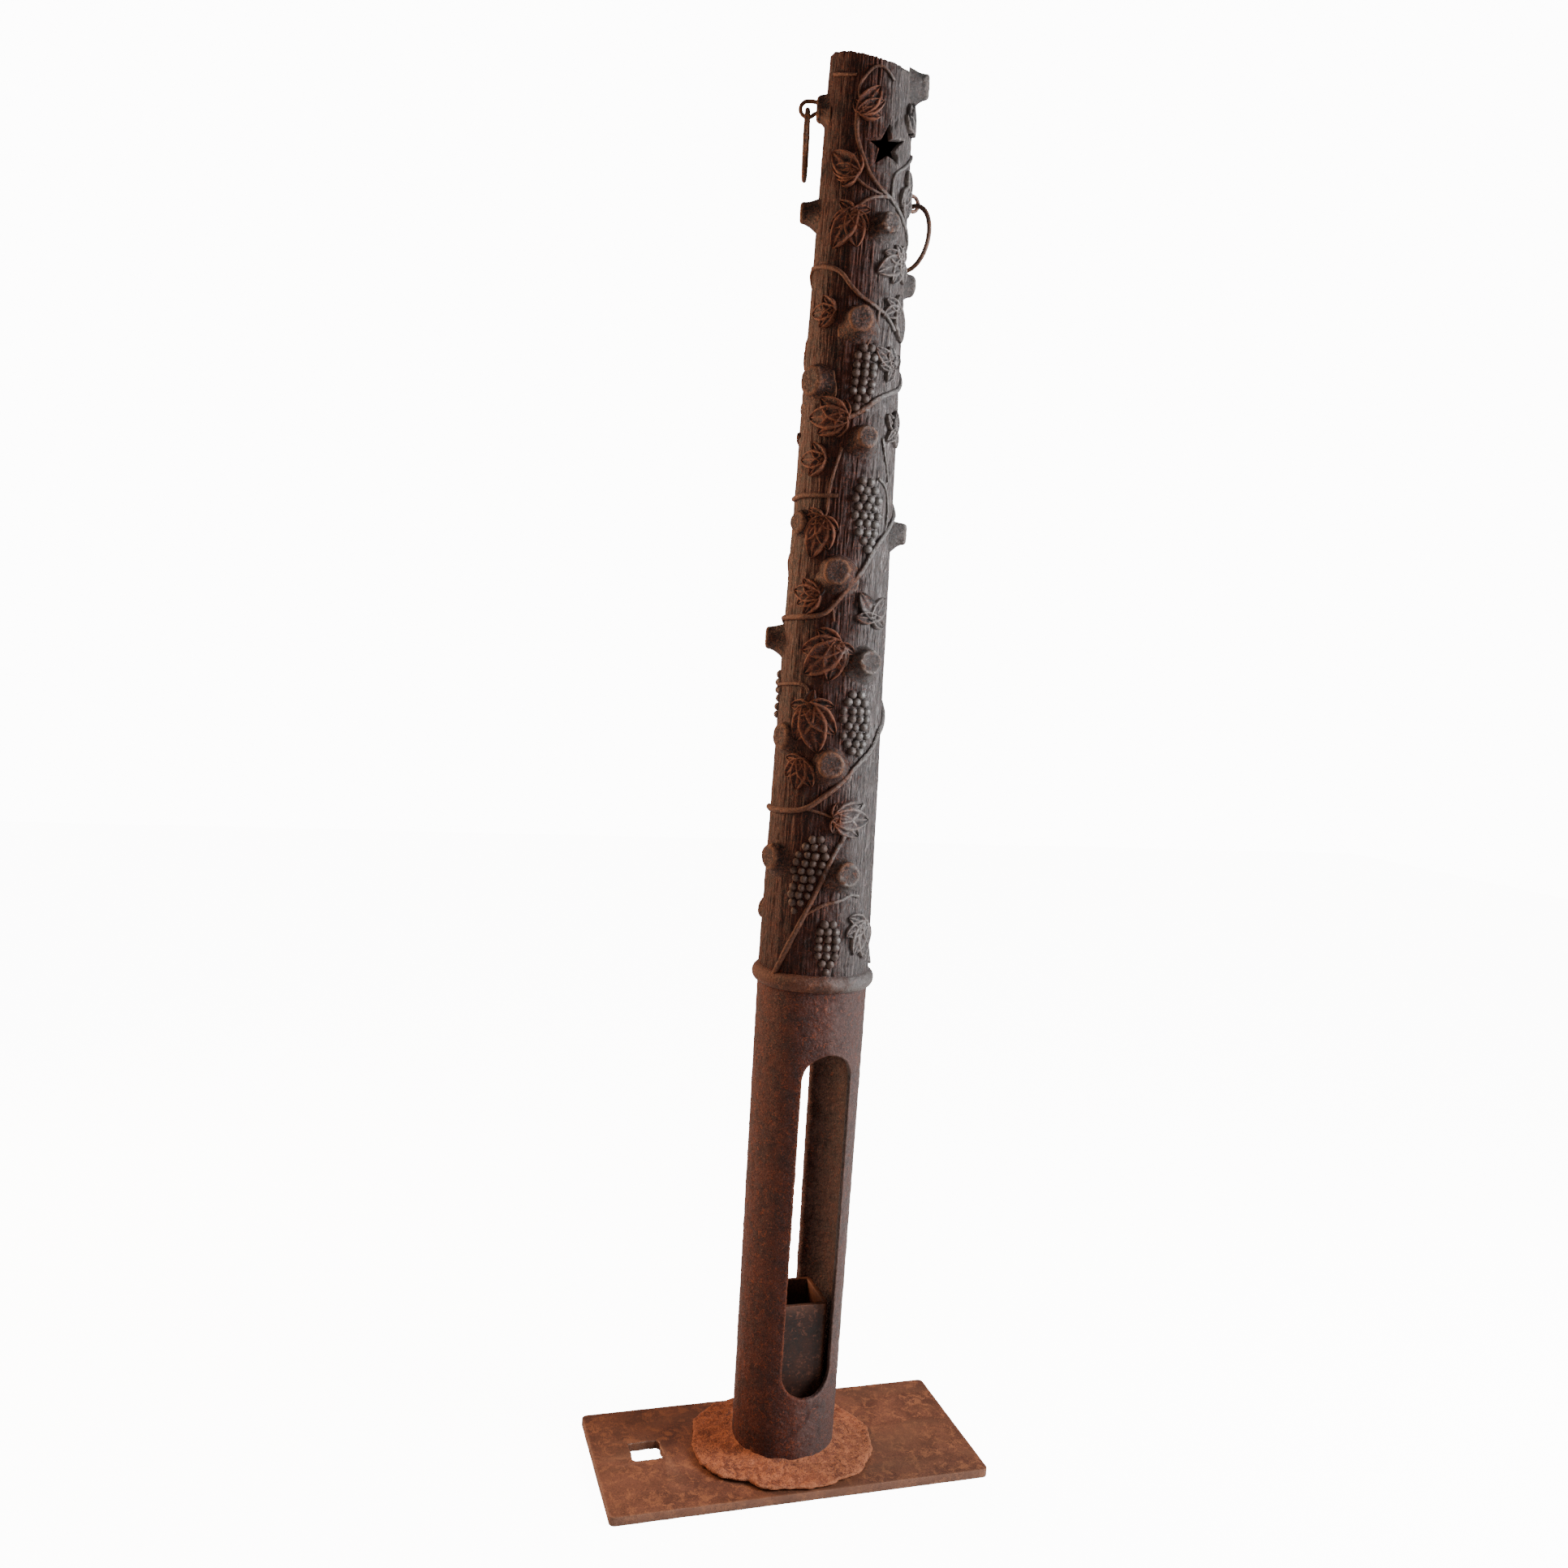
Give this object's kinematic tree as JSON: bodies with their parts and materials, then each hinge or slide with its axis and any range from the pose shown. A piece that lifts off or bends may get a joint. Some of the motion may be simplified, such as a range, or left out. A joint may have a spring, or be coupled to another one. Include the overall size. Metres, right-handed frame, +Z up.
{
  "type": "hitching post",
  "caption": "Cast-iron hitching post shaped as a grape-grown tree trunk with two tie rings, standing over a spigot on a flat steel display plate.",
  "frame": {"origin": "centre of the base plate's underside, on the ground", "axes": "+Z up along the post, +X along the plate's length away from its square hole, -Y towards the front"},
  "size_m": [0.486, 0.219, 1.7388],
  "materials": {
    "plate_steel": "brown patinated hot-rolled steel, cloudy stains, worn pale edges",
    "mill_tube": "dark mill scale with a torch-cut rim",
    "weld": "rippled arc weld, dark",
    "flange_rust": "flaking orange-brown rust crust",
    "tube_iron": "pitted rust-brown with orange patches",
    "bead_iron": "worn reddish brown",
    "trunk_iron": "dark rust-brown bark, grey worn patina on the weather side",
    "stub_iron": "rust-brown, rough sawn end",
    "vine_iron": "rust-brown with worn crests",
    "leaf_iron": "rust-brown with worn rims and veins",
    "grape_iron": "smooth rubbed rust-brown with a dull shine",
    "forged_iron": "smooth handled wrought iron, orange-brown"
  },
  "bodies": {
    "stand": {"base_plate": "plate_steel", "spigot_tube": "mill_tube", "spigot_weld": "weld"},
    "post": {"trunk_shell": "trunk_iron", "collar_bead": "bead_iron", "ground_tube": "tube_iron", "foot_flange": "flange_rust", "eye_stub_left": "stub_iron", "eye_stub_right": "stub_iron", "eye_left": "forged_iron", "eye_right": "forged_iron", "vine_stems": "vine_iron", "vine_leaves": "leaf_iron", "branch_stub_01": "stub_iron", "branch_stub_02": "stub_iron", "branch_stub_03": "stub_iron", "branch_stub_04": "stub_iron", "branch_stub_05": "stub_iron", "branch_stub_06": "stub_iron", "branch_stub_07": "stub_iron", "branch_stub_08": "stub_iron", "branch_stub_09": "stub_iron", "branch_stub_10": "stub_iron", "branch_stub_11": "stub_iron", "branch_stub_12": "stub_iron", "branch_stub_13": "stub_iron", "branch_stub_14": "stub_iron", "branch_stub_15": "stub_iron", "branch_stub_16": "stub_iron", "branch_stub_17": "stub_iron", "branch_stub_18": "stub_iron", "branch_stub_19": "stub_iron", "branch_stub_20": "stub_iron", "branch_stub_21": "stub_iron", "branch_stub_22": "stub_iron", "branch_stub_23": "stub_iron", "branch_stub_24": "stub_iron", "grape_cluster_1": "grape_iron", "grape_cluster_2": "grape_iron", "grape_cluster_3": "grape_iron", "grape_cluster_4": "grape_iron", "grape_cluster_5": "grape_iron", "grape_cluster_6": "grape_iron", "grape_cluster_7": "grape_iron", "grape_cluster_8": "grape_iron", "grape_cluster_9": "grape_iron"},
    "ring_left": {"ring_left": "forged_iron"},
    "ring_right": {"ring_right": "forged_iron"}
  },
  "joints": [
    {"name": "post_lift", "type": "slide", "parent": "stand", "child": "post", "axis": [0, 0, 1], "range_m": [0, 0.25]},
    {"name": "ring_left_swing", "type": "hinge", "parent": "post", "child": "ring_left", "pos_m": [-0.069, 0.0238, 1.6684], "axis": [0.3256, 0.9455, 0], "range_deg": [-8, 140]},
    {"name": "ring_right_swing", "type": "hinge", "parent": "post", "child": "ring_right", "pos_m": [0.0702, 0.0201, 1.5804], "axis": [0.2756, -0.9613, 0], "range_deg": [-8, 140]}
  ]
}
